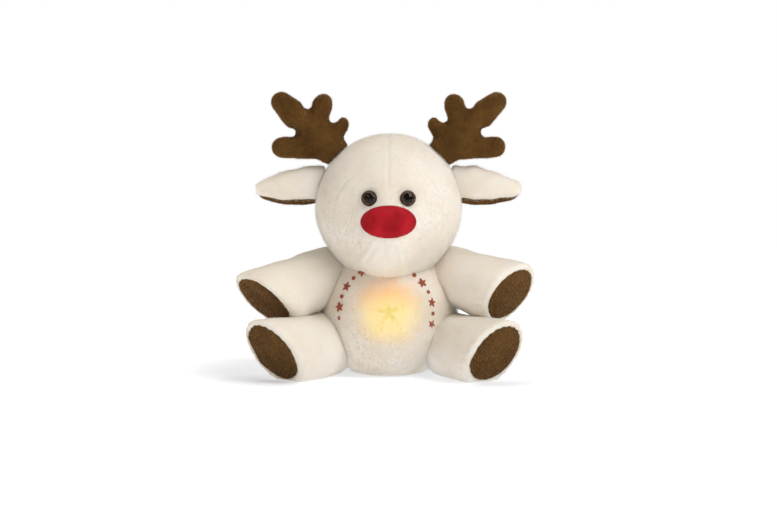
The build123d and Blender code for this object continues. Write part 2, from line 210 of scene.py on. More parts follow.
class Recipe:
    # one material, built from nodes
    def __init__(self, name):
        self.material = bpy.data.materials.new(name)
        self.material.use_nodes = True
        self.tree = self.material.node_tree
        self.tree.nodes.clear()
        self.place = self.node("ShaderNodeTexCoord", output="Object")

    def node(self, kind, settings=None, inputs=None, output=0):
        made = self.tree.nodes.new(kind)
        for key, value in (settings or {}).items():
            if key == "stops":
                ramp = made.color_ramp
                while len(ramp.elements) < len(value):
                    ramp.elements.new(0.5)
                for element, (position, colour) in zip(ramp.elements, value):
                    element.position, element.color = position, (*colour, 1)
            else:
                setattr(made, key, value)
        for key, value in (inputs or {}).items():
            if isinstance(value, Strand):
                self.tree.links.new(value.socket, made.inputs[key])
            else:
                made.inputs[key].default_value = value
        return Strand(self, made.outputs[output])

    def noise(self, scale, detail=3, rough=0.55, place=None):
        inputs = {"Vector": place or self.place, "Scale": scale, "Detail": detail, "Roughness": rough}
        return self.node("ShaderNodeTexNoise", {"noise_dimensions": "3D"}, inputs)

    def bands(self, direction, scale, **inputs):
        inputs = {"Vector": self.place, "Scale": scale, **inputs}
        return self.node("ShaderNodeTexWave", {"bands_direction": direction}, inputs)

    def ramp(self, factor, *stops):
        return self.node("ShaderNodeValToRGB", {"stops": stops}, {"Fac": factor})

    def fade(self, value, low, high):
        return self.node("ShaderNodeMapRange", {"interpolation_type": "SMOOTHSTEP"},
                         {"Value": value, "From Min": low, "From Max": high, "To Min": 0.0, "To Max": 1.0})

    def mix(self, factor, first, second, blend="MIX"):
        return self.node("ShaderNodeMix", {"data_type": "RGBA", "blend_type": blend},
                         {0: factor, 6: asColour(first), 7: asColour(second)}, output=2)

    def bump(self, height, strength, distance, under=None):
        inputs = {"Height": height, "Strength": strength, "Distance": distance}
        if under:
            inputs["Normal"] = under
        return self.node("ShaderNodeBump", {}, inputs)

    def stretched(self, *scale):
        return self.node("ShaderNodeMapping", {}, {"Vector": self.place, "Scale": scale})

    def axis(self, name):
        return self.node("ShaderNodeSeparateXYZ", {}, {"Vector": self.place}, output=name)

    def finish(self, **inputs):
        shader = self.tree.nodes.new("ShaderNodeBsdfPrincipled")
        for key, value in inputs.items():
            socket = shader.inputs[key.replace("_", " ")]
            if isinstance(value, Strand):
                self.tree.links.new(value.socket, socket)
            else:
                socket.default_value = asColour(value) if socket.type == "RGBA" else value
        out = self.tree.nodes.new("ShaderNodeOutputMaterial")
        self.tree.links.new(shader.outputs[0], out.inputs[0])
        return self.material


def dimmed(colour, share):
    return tuple(c * share for c in colour)


def asColour(value):
    if isinstance(value, tuple) and len(value) == 3:
        return (*value, 1)
    return value


def paint(piece, *materials):
    piece.data.materials.clear()
    for material in materials:
        piece.data.materials.append(material)


headLow, headHigh = cornersOf("head_panel_left", "head_panel_right")
headSize = (headHigh[0] - headLow[0]) / 2
headMiddle = np.array([0, headHigh[1] - headSize, headHigh[2] - headSize])
noseLow, noseHigh = cornersOf("nose_cover")
noseMiddle = (noseLow + noseHigh) / 2
noseMiddle[1] = noseLow[1]
muzzle = {"radius": 38 * mm, "lift": -1.5 * mm, "melt": 9 * mm}
muzzleMiddle = np.array([0, headLow[1] + muzzle["radius"], noseMiddle[2] + muzzle["lift"]])
bodyLow, bodyHigh = cornersOf("belly_panel", "back_panel", "base_panel")
bodySize = (bodyHigh[0] - bodyLow[0]) / 2
bodyTall = 67 * mm
bodyHalf = np.array([bodySize, bodySize, bodyTall])
bodyMiddle = np.array([0, 0, 60 * mm])
lampLow, lampHigh = cornersOf("lamp_diffuser")
glowMiddle = np.array([0, -bodySize, (lampLow[2] + lampHigh[2]) / 2])


def jointPlace(name):
    return np.array(joints[name]["pos_m"]), np.array(joints[name]["axis"])


creamLook = {"light": (0.88, 0.845, 0.78), "shade": (0.82, 0.745, 0.64), "rough": 0.92, "sheen": 0.3}
glowLook = {"radius": 37 * mm, "power": 0.34, "heart": (1.0, 0.80, 0.34), "rim": (1.0, 0.44, 0.13),
            "motif": (0.74, 0.64, 0.02), "petal": 6.5 * mm, "middle": 9.5 * mm,
            "rings": (0.95, 0.60, 0.84, 1.06)}


def creamPile(name, glow=False):
    recipe = Recipe(name)
    cloud = recipe.noise(28, 3)
    tuft = recipe.noise(520, 4, 0.6)
    hair = recipe.noise(2600, 3, 0.65, recipe.stretched(1, 1, 0.45))
    tone = recipe.fade(cloud * 0.55 + tuft * 0.3 + hair * 0.15, 0.36, 0.64)
    base = recipe.mix(tone, creamLook["shade"], creamLook["light"])
    normal = recipe.bump(tuft * 0.6 + hair * 0.4, 0.5, 0.0007)
    inputs = {"Base_Color": base, "Roughness": creamLook["rough"], "Normal": normal,
              "Sheen_Weight": creamLook["sheen"], "Sheen_Roughness": 0.45, "Sheen_Tint": (1.0, 0.97, 0.92),
              "Subsurface_Weight": 0.2, "Subsurface_Radius": (0.010, 0.005, 0.0025), "Subsurface_Scale": 0.6,
              "Specular_IOR_Level": 0.12}
    if glow:
        x = recipe.axis("X")
        z = recipe.axis("Z") - float(glowMiddle[2])
        y = recipe.axis("Y")
        front = recipe.fade(y * -1, 0.02, 0.05)
        spread = recipe.node("ShaderNodeMath", {"operation": "SQRT"}, {0: x * x + z * z})
        wobble = (recipe.noise(55, 2) - 0.5) * 0.012
        near = 1 - recipe.fade(spread + wobble, 0.35 * glowLook["radius"], glowLook["radius"])
        turn = recipe.node("ShaderNodeMath", {"operation": "ARCTAN2"}, {0: x, 1: z})
        petals = recipe.node("ShaderNodeMath", {"operation": "COSINE"}, {0: turn * 5 + 0.4})
        reach = petals * glowLook["petal"] + glowLook["middle"]
        ragged = (recipe.noise(190, 3) - 0.5) * 0.013
        motif = (1 - recipe.fade(spread + ragged, 0.003, reach)) * 0.75
        upper = recipe.fade(z, -0.004, 0.03)
        warm = recipe.mix(upper, glowLook["heart"], glowLook["rim"])
        warm = recipe.mix(motif, warm, glowLook["motif"])
        inputs["Base_Color"] = recipe.mix(near * front * 0.85, base, recipe.mix(0.6, warm, (0.5, 0.4, 0.2)))
        inputs["Emission_Color"] = recipe.mix(near * front, (0, 0, 0), warm)
        inputs["Emission_Strength"] = glowLook["power"]
    return recipe.finish(**inputs)


velboaLook = {"dark": (0.062, 0.027, 0.006), "mid": (0.135, 0.066, 0.017), "light": (0.24, 0.135, 0.052)}


def brownVelboa(name):
    recipe = Recipe(name)
    nap = recipe.noise(45, 3)
    fleck = recipe.noise(900, 4, 0.7)
    hair = recipe.noise(3200, 2, 0.7, recipe.stretched(1, 1, 0.5))
    tone = recipe.fade(nap * 0.5 + fleck * 0.5, 0.33, 0.66)
    base = recipe.mix(tone, velboaLook["dark"], velboaLook["mid"])
    base = recipe.mix(recipe.fade(hair, 0.55, 0.8) * 0.5, base, velboaLook["light"])
    normal = recipe.bump(fleck * 0.6 + hair * 0.5, 0.55, 0.0005)
    return recipe.finish(Base_Color=base, Roughness=0.9, Normal=normal,
                         Sheen_Weight=0.25, Sheen_Roughness=0.35,
                         Sheen_Tint=(0.85, 0.60, 0.40), Specular_IOR_Level=0.1)


noseLook = {"deep": (0.27, 0.005, 0.010), "bright": (0.46, 0.012, 0.022),
            "tall": 15.35 * mm, "crown": 8.6 * mm}


def redVelvet(name):
    recipe = Recipe(name)
    nap = recipe.noise(60, 2)
    fleck = recipe.noise(1400, 4, 0.7)
    base = recipe.mix(recipe.fade(nap * 0.6 + fleck * 0.4, 0.35, 0.65), noseLook["deep"], noseLook["bright"])
    normal = recipe.bump(fleck, 0.35, 0.0004)
    return recipe.finish(Base_Color=base, Roughness=0.85, Normal=normal,
                         Sheen_Weight=0.35, Sheen_Roughness=0.3,
                         Sheen_Tint=(1.0, 0.35, 0.35), Specular_IOR_Level=0.12)


def moulded(name, colour, rough=0.4, grain=0.15):
    recipe = Recipe(name)
    speck = recipe.noise(700, 3)
    cloud = recipe.fade(recipe.noise(40, 2), 0.3, 0.7)
    return recipe.finish(Base_Color=recipe.mix(cloud, dimmed(colour, 0.86), colour),
                         Roughness=recipe.fade(speck, -1, 2) * 0.2 + (rough - 0.1),
                         Normal=recipe.bump(speck, grain, 0.0001))


def wovenCloth(name, colour):
    recipe = Recipe(name)
    weave = recipe.bands("X", 700.0) * recipe.bands("Z", 700.0)
    return recipe.finish(Base_Color=recipe.mix(weave, dimmed(colour, 0.7), colour), Roughness=0.9,
                         Normal=recipe.bump(weave, 0.5, 0.0003), Sheen_Weight=0.1)


def stitchThread(name, colour):
    recipe = Recipe(name)
    twist = recipe.bands("DIAGONAL", 900.0, Distortion=1.0)
    return recipe.finish(Base_Color=recipe.mix(twist, dimmed(colour, 0.6), colour), Roughness=0.6,
                         Normal=recipe.bump(twist, 0.6, 0.0002), Sheen_Weight=0.15)


def strandFinish(name, colour, glow=None, power=0.0):
    recipe = Recipe(name)
    inputs = {"Base_Color": colour, "Roughness": 0.9, "Specular_IOR_Level": 0.08}
    if glow:
        inputs["Emission_Color"] = glow
        inputs["Emission_Strength"] = power
    return recipe.finish(**inputs)


cream = creamPile("cream_pile")
creamGlow = creamPile("cream_pile_lit", glow=True)
brown = brownVelboa("brown_velboa")
red = redVelvet("red_velvet")
creamStrands = [strandFinish("cream_strand_" + name, colour) for name, colour in
                (("pale", (0.94, 0.915, 0.87)), ("mid", (0.91, 0.87, 0.80)), ("deep", (0.87, 0.80, 0.70)))]
brownStrands = [strandFinish("brown_strand_" + name, colour) for name, colour in
                (("dark", (0.060, 0.026, 0.005)), ("mid", (0.150, 0.074, 0.018)),
                 ("pale", (0.48, 0.30, 0.145)))]
print("materials made")


pileLook = {"cream": {"each": 0.78, "long": 2.5, "wide": 0.24, "lean": 0.6, "wander": 0.34, "sink": 0.4},
            "brown": {"each": 1.0, "long": 1.7, "wide": 0.24, "lean": 0.6, "wander": 0.5, "sink": 0.25}}


def makePile(base, name, look, finishes, seed, flow, where, tint):
    # fine closed spikes rooted in a piece's cloth, combed the way that flow gives
    shape = pileLook[look]
    mesh = base.data
    mesh.calc_loop_triangles()
    corners = np.empty(len(mesh.loop_triangles) * 3, np.int32)
    mesh.loop_triangles.foreach_get("vertices", corners)
    corners = corners.reshape(-1, 3)
    points, normals = pointsOf(base), normalsOf(base)
    a, b, c = points[corners[:, 0]], points[corners[:, 1]], points[corners[:, 2]]
    areas = lengths(np.cross(b - a, c - a)) / 2
    dice = np.random.default_rng(seed)
    total = int(areas.sum() * 1e6 * shape["each"])
    chosen = np.searchsorted(np.cumsum(areas) / areas.sum(), dice.random(total))
    chosen = np.minimum(chosen, len(corners) - 1)
    u, v = np.sqrt(dice.random(total)), dice.random(total)
    shares = np.stack([1 - u, u * (1 - v), u * v], 1)[:, :, None]
    roots = (points[corners[chosen]] * shares).sum(1)
    out = unit((normals[corners[chosen]] * shares).sum(1))
    if where is not None:
        keep = where(roots, out)
        roots, out = roots[keep], out[keep]
    total = len(roots)
    # tufts: neighbours lean the same way
    comb = flow(roots, out) + 0.35 * np.stack([swell(roots, 14 * mm, seed + k) for k in range(3)], 1)
    comb -= (comb * out).sum(1)[:, None] * out
    comb /= np.maximum(lengths(comb), 1e-6)[:, None]
    stray = dice.normal(size=(total, 3))
    way = unit(out + comb * shape["lean"] + stray * shape["wander"])
    rise = (way * out).sum(1)
    way = unit(np.where(rise[:, None] < 0.25, way + out * (0.3 - rise)[:, None], way))
    longs = shape["long"] * mm * dice.uniform(0.7, 1.15, total) * (1 + 0.18 * swell(roots, 9 * mm, seed + 7))
    wides = shape["wide"] * mm * dice.uniform(0.7, 1.2, total)
    across = np.cross(way, out + 0.01)
    across /= np.maximum(lengths(across), 1e-6)[:, None]
    third = np.cross(way, across)
    feet = roots - out * shape["sink"] * mm
    spikes = np.empty((total, 4, 3))
    for k in range(3):
        turn = 2 * math.pi * k / 3
        spikes[:, k] = feet + (across * math.cos(turn) + third * math.sin(turn)) * (wides / 2)[:, None]
    spikes[:, 3] = roots + way * longs[:, None]
    spikes[:, :, 2] = np.maximum(spikes[:, :, 2], 0.05 * mm)
    pile = bpy.data.meshes.new(name)
    pile.vertices.add(total * 4)
    pile.vertices.foreach_set("co", spikes.astype(np.float32).ravel())
    sides = np.array([(0, 2, 1), (0, 1, 3), (1, 2, 3), (2, 0, 3)])
    loops = (np.arange(total)[:, None, None] * 4 + sides).ravel()
    pile.loops.add(len(loops))
    pile.loops.foreach_set("vertex_index", loops.astype(np.int32))
    pile.polygons.add(total * 4)
    pile.polygons.foreach_set("loop_start", np.arange(0, len(loops), 3, dtype=np.int32))
    shade = tint(roots, out, dice) if tint else dice.integers(0, len(finishes), total)
    pile.polygons.foreach_set("material_index", np.repeat(shade, 4).astype(np.int32))
    pile.polygons.foreach_set("use_smooth", [True] * (total * 4))
    for finish in finishes:
        pile.materials.append(finish)
    pile.update(calc_edges=True)
    pile.validate()
    return placed(name, pile)


def hangDown(roots, out):
    return np.tile([0.0, 0.0, -1.0], (len(roots), 1))


def layPile(base, look, body, seed, flow=hangDown, where=None, finishes=None, tint=None, across=None):
    finishes = finishes or (creamStrands if look == "cream" else brownStrands)
    pile = makePile(base, base.name + "_pile", look, finishes, seed, flow, where, tint)
    if across:
        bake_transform(pile)
    else:
        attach(pile, body)
    return pile


headShape = {"fineness": 7, "under": 1.4 * mm, "lumps": 0.9 * mm, "seam": 0.7 * mm,
             "gathers": 0.65 * mm, "socket": 2.2 * mm, "chin": np.array([0, -0.58, -0.815]),
             "chinRise": 8.5 * mm, "chinWide": 0.56, "cheekSeam": 0.7 * mm, "noseDip": 0.8 * mm}


def headSurface(directions, gap=0.0):
    offset = muzzleMiddle - headMiddle
    along = directions @ offset
    inside = along ** 2 - offset @ offset + (muzzle["radius"] + gap) ** 2
    bulge = np.where(inside > 0, along + np.sqrt(np.maximum(inside, 0)), 0)
    return softMax(np.full(len(directions), headSize + gap), bulge, muzzle["melt"])


def noseShare(points):
    # 0 at the middle of the nose, 1 at its rim
    x, _, z = points.T
    return np.sqrt((x / noseHigh[0]) ** 2 + ((z - noseMiddle[2]) / (noseHigh[2] - noseMiddle[2])) ** 2)


def eyesAway(points):
    for side in ("left", "right"):
        low, high = cornersOf(side + "_eye_dome")
        yield lengths(points - (low + high) / 2)


def makeHead():
    directions, faces = ballDirections(headShape["fineness"])
    points = headMiddle + directions * headSurface(directions, -headShape["under"])[:, None]
    x, y, z = points.T
    front = ease(headMiddle[1] - y, 0.01, 0.05)
    push = headShape["lumps"] * swell(points, 46 * mm, 3)
    # the centre seam of the forehead, and its faint run under the nose
    above = ease(z, noseHigh[2] + 0.012, noseHigh[2] + 0.03)
    push -= headShape["seam"] * dip(x, 1.5 * mm) * above * ease(-y + headMiddle[1], -0.06, 0.0)
    # gathers that fan out under the nose
    drop = noseMiddle[2] - z
    fan = np.arctan2(x, np.maximum(drop, 0.001))
    pleat = np.sin(fan * 19 + 0.8) * 0.6 + np.sin(fan * 31 + 2.0) * 0.4
    band = ease(drop, 0.011, 0.018) * (1 - ease(drop, 0.030, 0.058)) * ease(1.05 - np.abs(fan), 0, 0.5)
    push += headShape["gathers"] * pleat * band * front
    # the cloth dips where the nose and the eyes are pulled in
    push -= headShape["noseDip"] * dip(noseShare(points) - 1.02, 0.12) * front
    for away in eyesAway(points):
        push -= headShape["socket"] * dip(away, 10 * mm)
    # the full chin hangs over the belly
    lean = np.arccos(np.clip(directions @ headShape["chin"], -1, 1))
    push += headShape["chinRise"] * dip(lean, headShape["chinWide"])
    # a faint curved seam round each cheek
    cheek = lengths(np.stack([x, z - muzzleMiddle[2] - 0.004], 1))
    side = ease(np.abs(x), 0.03, 0.042)
    push -= headShape["cheekSeam"] * dip(cheek - 52 * mm, 1.6 * mm) * side * front
    points += directions * push[:, None]
    head = makeMesh("head_cover", points, faces)
    paint(head, cream)
    return head


head = makeHead()
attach(head, "head")
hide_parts("head_panel_left", "head_panel_right", "head_stuffing")


def headComb(roots, out):
    # away from the nose, then back over the crown
    away = roots - np.array([0, noseMiddle[1] + 0.02, noseMiddle[2]])
    return unit(away) + np.array([0, 0.3, -0.1])


def openFace(roots, out):
    # none under the nose pad or the eyes
    x, y, z = roots.T
    keep = ~((noseShare(roots) < 0.97) & (y < -0.04))
    for away in eyesAway(roots):
        keep &= away > 8.6 * mm
    neck = cornersOf("neck_stitching")
    keep &= ~((z < neck[0][2] + 0.004) & (np.hypot(x, y + 0.006) < 0.045))
    return keep


# painted light: faintly glowing warm strands for the chin above the lamp
chinGlowStrands = [strandFinish("chin_strand_" + name, (0.92, 0.84, 0.74), (1.0, 0.70, 0.44), power)
               for name, power in (("faint", 0.06), ("warm", 0.15))]


def chinPaintedGlow(roots, out, dice):
    # painted light: near the lamp the chin strands glow warm, standing in for the lamp lighting the chin
    # above it
    away = lengths(roots - glowMiddle) + dice.normal(size=len(roots)) * 3 * mm
    plain = dice.integers(0, 3, len(roots))
    return np.select([away < 36 * mm, away < 47 * mm], [4, 3], plain)


layPile(head, "cream", "head", 101, headComb, openFace, creamStrands + chinGlowStrands, chinPaintedGlow)
print("head made")


def makeNose():
    half = (noseHigh - noseLow) / 2
    rings, spokes = 40, 96
    tall = noseLook["tall"]
    points = []
    for ring in range(rings + 1):
        share = ring / rings
        for spoke in range(spokes):
            turn = 2 * math.pi * spoke / spokes
            x = half[0] * share * math.cos(turn)
            z = noseMiddle[2] + tall * share * math.sin(turn)
            # the cloth of the muzzle at this place, then a crowned pad on it
            gap2 = muzzle["radius"] ** 2 - (x - muzzleMiddle[0]) ** 2 - (z - muzzleMiddle[2]) ** 2
            floor = muzzleMiddle[1] - math.sqrt(max(gap2, 0)) + 1.5 * mm
            crown = noseLook["crown"] * math.sqrt(max(1 - share ** 2.3, 0))
            points.append((x, floor - crown, z))
    nose = makeMesh("nose_pad", points, gridFaces(rings + 1, spokes))
    with reworked(nose) as work:
        bmesh.ops.remove_doubles(work, verts=work.verts, dist=1e-6)
        # the rim turns back into the head and is closed
        rimEdges = [e for e in work.edges if e.is_boundary]
        made = bmesh.ops.extrude_edge_only(work, edges=rimEdges)["geom"]
        for v in [g for g in made if isinstance(g, bmesh.types.BMVert)]:
            v.co.y += 2.5 * mm
            v.co.x *= 0.97
        bmesh.ops.contextual_create(work, geom=[g for g in made if isinstance(g, bmesh.types.BMEdge)])
        bmesh.ops.recalc_face_normals(work, faces=work.faces)
    shadeSmooth(nose)
    paint(nose, red)
    return nose


nose = makeNose()
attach(nose, "head")
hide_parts("nose_cover", "nose_filling")
print("nose made")


def eyeFrame(side):
    # the middle of the eye's back and the way it looks, from the washer behind it to the dome
    dome, washer = cornersOf(side + "_eye_dome"), cornersOf(side + "_eye_washer")
    front, back = (dome[0] + dome[1]) / 2, (washer[0] + washer[1]) / 2
    way = Vector(front - back).normalized()
    spot = Vector(front) - way * 2.2 * mm
    return Matrix.Translation(spot) @ way.to_track_quat("Z", "Y").to_matrix().to_4x4()


def turnedPiece(name, profile, place, spokes=72):
    # a lathe-turned closed piece from (radius, height) points
    points = []
    for radius, height in profile:
        for spoke in range(spokes):
            turn = 2 * math.pi * spoke / spokes
            points.append(place @ Vector((radius * math.cos(turn), radius * math.sin(turn), height)))
    piece = makeMesh(name, points, gridFaces(len(profile), spokes))
    with reworked(piece) as work:
        bmesh.ops.remove_doubles(work, verts=work.verts, dist=1e-7)
        bmesh.ops.holes_fill(work, edges=work.edges)
        bmesh.ops.recalc_face_normals(work, faces=work.faces)
    shadeSmooth(piece)
    return piece


def irisMaterial(side, place):
    recipe = Recipe(side + "_iris")
    local = recipe.node("ShaderNodeVectorMath", {"operation": "SUBTRACT"},
                        {0: recipe.place, 1: tuple(place.translation)})
    away = recipe.node("ShaderNodeVectorMath", {"operation": "LENGTH"}, {0: local}, output="Value")
    ring = recipe.ramp(away / (7 * mm), (0.0, (0.001, 0.001, 0.001)), (0.56, (0.001, 0.001, 0.001)),
                       (0.60, (0.05, 0.028, 0.014)), (0.78, (0.13, 0.075, 0.04)),
                       (0.93, (0.012, 0.008, 0.006)))
    streaks = recipe.noise(900, 3)
    colour = recipe.mix(recipe.fade(streaks, 0.3, 0.7) * 0.35, ring, (0.02, 0.014, 0.01))
    return recipe.finish(Base_Color=colour, Roughness=0.6, Specular_IOR_Level=0.0,
                         Normal=recipe.bump(streaks, 0.1, 0.0001))


clearRecipe = Recipe("clear_acrylic")
clear = clearRecipe.finish(Base_Color=(1.0, 1.0, 1.0), Roughness=0.015, IOR=1.3, Transmission_Weight=1.0)
# half sections of the eye's backing and of its clear lens, as (radius, height)
eyeDish = [(0, 1.2), (2, 1.2), (4, 1.25), (5.6, 1.35), (6.3, 1.5), (6.75, 1.9), (7.0, 1.9), (7.2, 1.5),
           (7.2, 0.4), (6.6, -0.4), (4, -0.6), (0, -0.6)]
eyeLens = [(0, 0.8), (4, 0.8), (6.85, 0.8)]
eyeLens += [(6.9 * math.cos(t), 1.5 + 4.3 * math.sin(t)) for t in np.linspace(0, math.pi / 2, 24)]
for side in ("left", "right"):
    place = eyeFrame(side)
    backing = turnedPiece(side + "_eye_backing", [(r * mm, h * mm) for r, h in eyeDish], place)
    paint(backing, irisMaterial(side, place))
    glass = turnedPiece(side + "_eye_lens", [(r * mm, h * mm) for r, h in eyeLens], place)
    paint(glass, clear)
    for piece, node, slot in ((backing, "_eye_iris", "eye_iris"), (glass, "_eye_dome", "eye_clear")):
        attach(piece, "head")
        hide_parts(side + node)
print("eyes made")


bodyShape = {"fineness": 7, "lumps": 0.9 * mm, "tuck": 1.2 * mm, "sag": 3.2 * mm}


def rootsAway(points, armSize, legSize):
    # how far outside a ball round the root of each arm and leg
    for side in ("left", "right"):
        for name, size in (("_arm_swing", armSize), ("_leg_splay", legSize)):
            centre, _ = jointPlace(side + name)
            yield lengths(points - centre) - size * mm


def makeBody():
    directions, faces = ballDirections(bodyShape["fineness"])
    reach = 1 / np.sqrt((directions[:, 0] ** 2 + directions[:, 1] ** 2) / bodySize ** 2
                        + directions[:, 2] ** 2 / bodyTall ** 2)
    reach += bodyShape["sag"] * dip(directions[:, 2] + 0.45, 0.42)
    down = np.where(directions[:, 2] < -0.05, bodyMiddle[2] / np.maximum(-directions[:, 2], 0.05), 1)
    reach = -softMax(-reach, -down, 2 * mm)
    # leave room for the head
    offset = headMiddle - bodyMiddle
    along = directions @ offset
    inside = along ** 2 - offset @ offset + (headSize - 0.5 * mm) ** 2
    enter = np.where((inside > 0) & (along > 0), along - np.sqrt(np.maximum(inside, 0)), 1)
    reach = -softMax(-reach, -enter, 2.5 * mm)
    points = bodyMiddle + directions * reach[:, None]
    push = bodyShape["lumps"] * swell(points, 50 * mm, 11) * ease(points[:, 2], 0.004, 0.02)
    for away in rootsAway(points, 25, 26):
        push -= bodyShape["tuck"] * dip(away, 5 * mm)
    points += directions * push[:, None]
    points[:, 2] = np.maximum(points[:, 2], 0.2 * mm)
    body = makeMesh("body_cover", points, faces)
    paint(body, creamGlow)
    return body


body = makeBody()
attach(body, "body")
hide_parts("belly_panel", "back_panel", "base_panel", "body_stuffing")
litStrands = [strandFinish("lit_strand_" + name, colour, warm, power) for name, colour, warm, power in
              (("rim", (0.88, 0.74, 0.55), (1.0, 0.55, 0.24), 0.08),
               ("ring", (0.84, 0.60, 0.30), (1.0, 0.58, 0.20), 0.20),
               ("heart", (0.82, 0.66, 0.30), (1.0, 0.84, 0.36), 0.30),
               ("top", (0.80, 0.46, 0.16), (1.0, 0.46, 0.13), 0.22),
               ("star", (0.62, 0.50, 0.02), (0.80, 0.70, 0.02), 0.16),
               ("warm", (0.91, 0.80, 0.65), (1.0, 0.62, 0.34), 0.045))]


def bodyTint(roots, out, dice):
    # the pile takes on the lamp's colour towards the middle of the glow
    plain = dice.integers(0, 3, len(roots))
    away = np.hypot(roots[:, 0], roots[:, 2] - glowMiddle[2]) + 2.2 * mm * swell(roots, 18 * mm, 5)
    away += dice.normal(size=len(roots)) * 1.6 * mm
    share = away / glowLook["radius"]
    upper = roots[:, 2] - glowMiddle[2] + dice.normal(size=len(roots)) * 3 * mm > 12 * mm
    turn = np.arctan2(roots[:, 0], roots[:, 2] - glowMiddle[2])
    reach = glowLook["middle"] + glowLook["petal"] * np.cos(5 * turn + 0.4)
    star = (away < reach) & (dice.random(len(roots)) < 0.8)
    # painted glow: most other strands on the front are faintly glowing warm ones, as if lit by the lamp
    warm = np.where(dice.random(len(roots)) < 0.75, 8, plain)
    top, heart, ring, rim = (share < size for size in glowLook["rings"])
    lit = np.select([star, upper & top, heart, ring, rim], [7, 6, 5, 4, 3], warm)
    return np.where(roots[:, 1] < -0.02, lit, plain)


def openBody(roots, out):
    # none on the seat, in the sockets or under the head and the back flap
    x, y, z = roots.T
    keep = z > 2 * mm
    keep &= lengths(roots - headMiddle) > headSize + 1.2 * mm
    for away in rootsAway(roots, 24, 25):
        keep &= away > 0
    low, high = cornersOf("back_flap")
    keep &= ~((y > 0.02) & (x > low[0]) & (x < high[0]) & (z > low[2] - 0.001) & (z < high[2]))
    return keep


layPile(body, "cream", "body", 131, hangDown, openBody, creamStrands + litStrands, bodyTint)
print("body made")


# stations are (share of the length, radius)
limbShape = {"arm": {"stations": [(0.0, 26.5), (0.25, 28.0), (0.5, 28.0), (0.75, 30.0), (0.9, 31.6),
                                  (1.0, 31.2)],
                     "rim": 4.6, "lumps": 1.0, "back": (5, 8, 0)},
             "leg": {"stations": [(0.0, 26.0), (0.25, 31.0), (0.5, 31.0), (0.75, 31.2), (0.9, 31.6),
                                  (1.0, 31.2)],
                     "rim": 4.6, "lumps": 0.9, "back": (15, 26, 2)}}


def padPlace(node):
    # the middle of a sewn pad, the way it faces, its long axis and its half width along that axis
    points = pointsOf(frame["nodes"][node])
    centre = (points.min(0) + points.max(0)) / 2
    spread = np.cov((points - points.mean(0)).T)
    _, axes = np.linalg.eigh(spread)
    facing = axes[:, 0]
    flatPoints = (points - centre) @ axes
    half = np.abs(flatPoints).max(0)
    return centre, facing, axes[:, 2], half[2]


def makeLimb(name, start, pad, shape, seed, back=(0, 0, 0)):
    centre, facing, _, _ = padPlace(pad)
    ahead = (centre - start) / np.linalg.norm(centre - start)
    start = start + np.array(back) * mm
    if facing @ ahead < 0:
        facing = -facing
    length = np.linalg.norm(centre - start)
    bend = centre - ahead * length * 0.5
    shares, sizes = np.array(shape["stations"]).T
    rootSize, endSize, rim = sizes[0] * mm, sizes[-1] * mm, shape["rim"] * mm
    spokes = 128
    turns = np.linspace(0, 2 * math.pi, spokes, endpoint=False)
    rows = [(-rootSize * 0.7 * math.cos(t), rootSize * math.sin(t))
            for t in np.linspace(0.02, math.pi / 2, 14)]
    fine = np.linspace(0, 1, 70)[1:]
    smoothSizes = np.interp(fine, shares, sizes) * mm
    kernel = np.hanning(13)
    padded = np.concatenate([np.full(6, rootSize), smoothSizes, np.full(6, smoothSizes[-1])])
    smoothSizes = np.convolve(padded, kernel / kernel.sum(), "valid")
    rows += [(f * (length - rim), s) for f, s in zip(fine, smoothSizes)]
    rows += [(length - rim + rim * math.sin(t), endSize - rim * 0.9 + rim * 0.9 * math.cos(t))
             for t in np.linspace(0.15, math.pi / 2, 9)]
    rows += [(length, endSize - rim * 0.9 - 1.5 * mm), (length - 2.5 * mm, endSize - rim * 0.9 - 2.5 * mm),
             (length - 3.5 * mm, 0.4 * mm)]
    points = []
    for along, size in rows:
        t = along / length
        middle = start * (1 - t) ** 2 + bend * 2 * t * (1 - t) + centre * t ** 2
        way = (bend - start) * (1 - t) + (centre - bend) * t
        way /= np.linalg.norm(way)
        across = np.cross(way, [0, 0, 1])
        across /= np.linalg.norm(across)
        outward = np.cos(turns)[:, None] * across + np.sin(turns)[:, None] * np.cross(across, way)
        slant = ease(np.array(t), 0.35, 0.98)
        lean = -size * (outward @ facing) / (way @ facing) * slant
        atEnd = ease(np.array(along), length - 14 * mm, length - 3 * mm)
        gather = 1 + 0.012 * np.sin(turns * 23 + seed) * atEnd
        points.append(middle + lean[:, None] * way + outward * (size * gather)[:, None])
    points = np.concatenate(points)
    faces = gridFaces(len(rows), spokes)
    faces.append(tuple(range(spokes))[::-1])
    last = (len(rows) - 1) * spokes
    faces.append(tuple(range(last, last + spokes)))
    limb = makeMesh(name, points, faces)
    normals = normalsOf(limb)
    reachShare = ((points - start) @ ahead) / length
    push = shape["lumps"] * mm * swell(points, 38 * mm, seed) * (1 - ease(reachShare, 0.85, 0.98))
    points = points + normals * push[:, None]
    points[:, 2] = np.maximum(points[:, 2], 0.3 * mm)
    setPoints(limb, points)
    paint(limb, cream)
    padSize = endSize - rim * 0.9 + 0.3 * mm
    pad = makePad(name.replace("cloth", "pad"), centre, facing, way, outward, padSize, seed)
    return limb, pad, ahead


